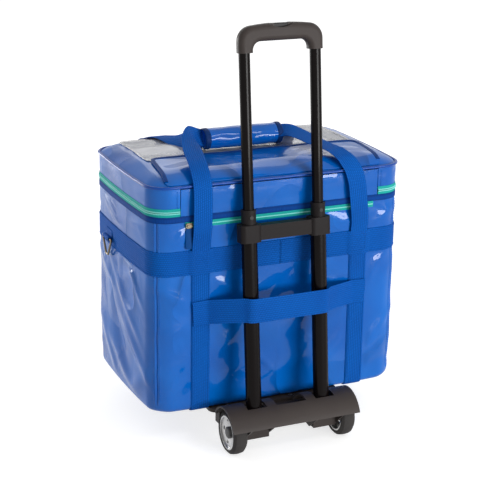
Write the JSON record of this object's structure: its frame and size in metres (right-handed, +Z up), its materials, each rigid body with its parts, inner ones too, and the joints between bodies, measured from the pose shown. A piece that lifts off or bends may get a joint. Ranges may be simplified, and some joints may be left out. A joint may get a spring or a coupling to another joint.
{
  "type": "specimen transport bag on a two-wheel trolley",
  "caption": "Insulated soft box for specimens, with zipped lid, carry loops and document window, strapped to a telescopic two-wheel trolley.",
  "frame": {"origin": "centre of the bounding box at floor level, where the two tyres and the toe plate's pads stand", "axes": "+Z up along the tallest extent, +X to the right as seen from the trolley side, +Y from the trolley towards the bag"},
  "size_m": [0.4616, 0.384, 0.6715],
  "materials": {
    "tarpaulin": "glossy coated tarpaulin",
    "piping": "glossy bound bead",
    "webbing": "woven polyester webbing",
    "ribbed_ribbon": "ribbed ribbon",
    "zip_tape": "woven zip tape with a coil",
    "puller_cloth": "folded cloth tab",
    "antique_brass": "antique brass plating",
    "clear_film": "clear flexible film",
    "insulation_foam": "closed-cell foam board",
    "lining": "wipe-clean coated lining",
    "stiff_board": "stiff sheet",
    "charcoal_plastic": "fine matt moulding",
    "black_tube": "gloss black anodised tube",
    "button_plastic": "satin moulding",
    "wheel_rubber": "matt rubber",
    "silver_rim": "silver painted",
    "cap_plastic": "satin moulding",
    "zinc_steel": "zinc plated"
  },
  "bodies": {
    "trolley": {"base_housing": "charcoal_plastic", "toe_plate": "charcoal_plastic", "toe_screws": "zinc_steel", "foot_pads": "wheel_rubber", "axle": "zinc_steel", "axle_nuts": "zinc_steel", "lower_tube_left": "black_tube", "lower_tube_right": "black_tube", "crossbar": "charcoal_plastic", "crossbar_screws": "zinc_steel"},
    "left_wheel": {"left_tyre": "wheel_rubber", "left_hub": "silver_rim", "left_cap": "cap_plastic"},
    "right_wheel": {"right_tyre": "wheel_rubber", "right_hub": "silver_rim", "right_cap": "cap_plastic"},
    "middle_stage": {"middle_tubes": "black_tube", "middle_collars": "charcoal_plastic", "collar_buttons": "button_plastic"},
    "handle_stage": {"upper_tubes": "black_tube", "upper_bushes": "charcoal_plastic", "pull_handle": "charcoal_plastic", "button_spring": "zinc_steel"},
    "release_button": {"release_button": "button_plastic", "release_yoke": "button_plastic"},
    "bag": {"body_shell": "tarpaulin", "base_board": "stiff_board", "body_insulation": "insulation_foam", "inner_liner": "lining", "near_rim_panel": "tarpaulin", "ribbed_band": "ribbed_ribbon", "lid_zip_lower": "zip_tape", "pocket_zip": "zip_tape", "belt": "webbing", "upright_strap_left": "webbing", "upright_strap_right": "webbing", "near_loop_arms": "webbing", "far_loops": "webbing", "trolley_strap": "webbing", "ring_tabs": "webbing"},
    "lid": {"lid_shell": "tarpaulin", "lid_padding": "insulation_foam", "lid_insulation": "insulation_foam", "lid_liner": "lining", "lid_piping": "piping", "lid_zip_upper": "zip_tape", "document_window": "clear_film", "document_flap": "tarpaulin", "near_loop_top": "webbing", "carry_grip": "tarpaulin", "grip_core": "webbing", "grip_trims": "webbing"},
    "pocket_slider": {"pocket_slider": "antique_brass", "pocket_puller": "puller_cloth"},
    "lid_slider_left": {"lid_slider_left": "antique_brass", "lid_puller_left": "puller_cloth"},
    "lid_slider_right": {"lid_slider_right": "antique_brass", "lid_puller_right": "puller_cloth"},
    "ring_left": {"ring_left": "antique_brass"},
    "ring_right": {"ring_right": "antique_brass"}
  },
  "joints": [
    {"name": "left_wheel_spin", "type": "hinge", "parent": "trolley", "child": "left_wheel", "pos_m": [-0.102, -0.15155, 0.0355], "axis": [1, 0, 0], "continuous": true},
    {"name": "right_wheel_spin", "type": "hinge", "parent": "trolley", "child": "right_wheel", "pos_m": [0.088, -0.15155, 0.0355], "axis": [1, 0, 0], "continuous": true},
    {"name": "middle_stage_slide", "type": "slide", "parent": "trolley", "child": "middle_stage", "axis": [0, 0.0993, 0.9951], "range_m": [0, 0.22]},
    {"name": "handle_stage_slide", "type": "slide", "parent": "middle_stage", "child": "handle_stage", "axis": [0, 0.0993, 0.9951], "range_m": [-0.222, 0]},
    {"name": "release_button_press", "type": "slide", "parent": "handle_stage", "child": "release_button", "axis": [0, -0.0993, -0.9951], "range_m": [0, 0.004], "stiffness_N_per_m": 500, "springref_m": -0.004, "deforming": ["button_spring"]},
    {"name": "bag_lift", "type": "slide", "parent": "trolley", "child": "bag", "axis": [0, 0.0993, 0.9951], "range_m": [0, 0.5]},
    {"name": "lid_hinge", "type": "hinge", "parent": "bag", "child": "lid", "pos_m": [0, -0.10035, 0.43], "axis": [1, 0, 0], "range_deg": [0, 59], "deforming": ["far_loops"]},
    {"name": "pocket_zip_slide", "type": "slide", "parent": "bag", "child": "pocket_slider", "axis": [1, 0, 0], "range_m": [0, 0.315]},
    {"name": "lid_zip_left_slide", "type": "slide", "parent": "bag", "child": "lid_slider_left", "axis": [-1, 0, 0], "range_m": [0, 0.1]},
    {"name": "lid_zip_right_slide", "type": "slide", "parent": "bag", "child": "lid_slider_right", "axis": [1, 0, 0], "range_m": [0, 0.1]},
    {"name": "ring_left_swing", "type": "hinge", "parent": "bag", "child": "ring_left", "pos_m": [-0.2262, 0.08885, 0.303], "axis": [0, 1, 0], "range_deg": [0, 120]},
    {"name": "ring_right_swing", "type": "hinge", "parent": "bag", "child": "ring_right", "pos_m": [0.2262, 0.08885, 0.303], "axis": [0, -1, 0], "range_deg": [0, 120]}
  ]
}
